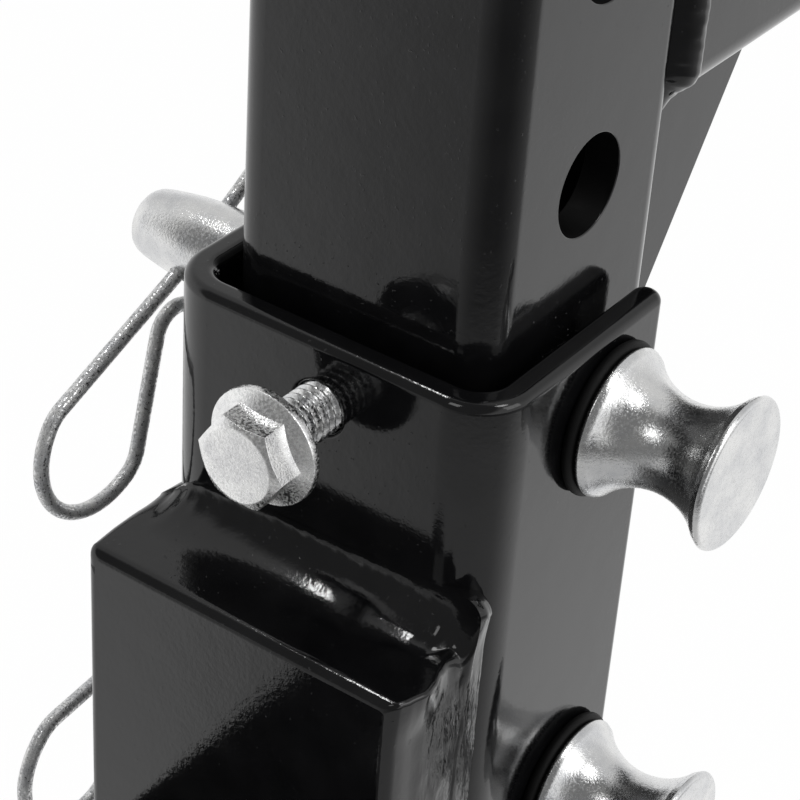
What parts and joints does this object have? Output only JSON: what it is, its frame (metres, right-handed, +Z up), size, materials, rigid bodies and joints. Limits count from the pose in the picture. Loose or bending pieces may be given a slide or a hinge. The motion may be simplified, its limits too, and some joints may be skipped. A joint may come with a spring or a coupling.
{
  "type": "hitch ball mount",
  "caption": "Adjustable drop ball mount for a 2 inch receiver: shank, drop bar with a row of holes, and a pinned collar that carries the ball platform.",
  "frame": {"origin": "centre of the receiver pin hole, on the shank's axis", "axes": "+Y along the shank into the receiver, +X along the pins towards their spool heads, +Z up"},
  "size_m": [0.1253, 0.3829, 0.2134],
  "materials": {
    "black_powder_coat": "gloss black powder coat on steel",
    "zinc_plate": "bright zinc plate on steel",
    "black_rubber": "matt"
  },
  "bodies": {
    "hitch_frame": {"shank": "black_powder_coat", "drop_bar": "black_powder_coat", "shank_weld": "black_powder_coat", "gusset": "black_powder_coat", "gusset_weld": "black_powder_coat", "collar": "black_powder_coat", "ball_platform": "black_powder_coat", "platform_weld": "black_powder_coat"},
    "upper_ring": {"upper_pin_ring": "black_rubber"},
    "upper_pin": {"upper_pin": "zinc_plate"},
    "upper_clip": {"upper_clip": "zinc_plate"},
    "lower_ring": {"lower_pin_ring": "black_rubber"},
    "lower_pin": {"lower_pin": "zinc_plate"},
    "lower_clip": {"lower_clip": "zinc_plate"},
    "bolt": {"anti_rattle_bolt": "zinc_plate"}
  },
  "joints": [
    {"name": "upper_pin_slide", "type": "slide", "parent": "hitch_frame", "child": "upper_ring", "axis": [1, 0, 0], "range_m": [0, 0.014]},
    {"name": "upper_pin_turn", "type": "hinge", "parent": "upper_ring", "child": "upper_pin", "pos_m": [0.0333, -0.185, -0.0678], "axis": [1, 0, 0], "continuous": true},
    {"name": "upper_clip_pull", "type": "slide", "parent": "upper_pin", "child": "upper_clip", "axis": [0, -0.8572, -0.515], "range_m": [0, 0.06], "deforming": ["upper_clip"]},
    {"name": "lower_pin_slide", "type": "slide", "parent": "hitch_frame", "child": "lower_ring", "axis": [1, 0, 0], "range_m": [0, 0.014]},
    {"name": "lower_pin_turn", "type": "hinge", "parent": "lower_ring", "child": "lower_pin", "pos_m": [0.0333, -0.185, -0.1472], "axis": [1, 0, 0], "continuous": true},
    {"name": "lower_clip_pull", "type": "slide", "parent": "lower_pin", "child": "lower_clip", "axis": [0, -0.9703, -0.2419], "range_m": [0, 0.06], "deforming": ["lower_clip"]},
    {"name": "bolt_advance", "type": "slide", "parent": "hitch_frame", "child": "bolt", "axis": [0, -1, 0], "range_m": [0, 0.00635]}
  ]
}
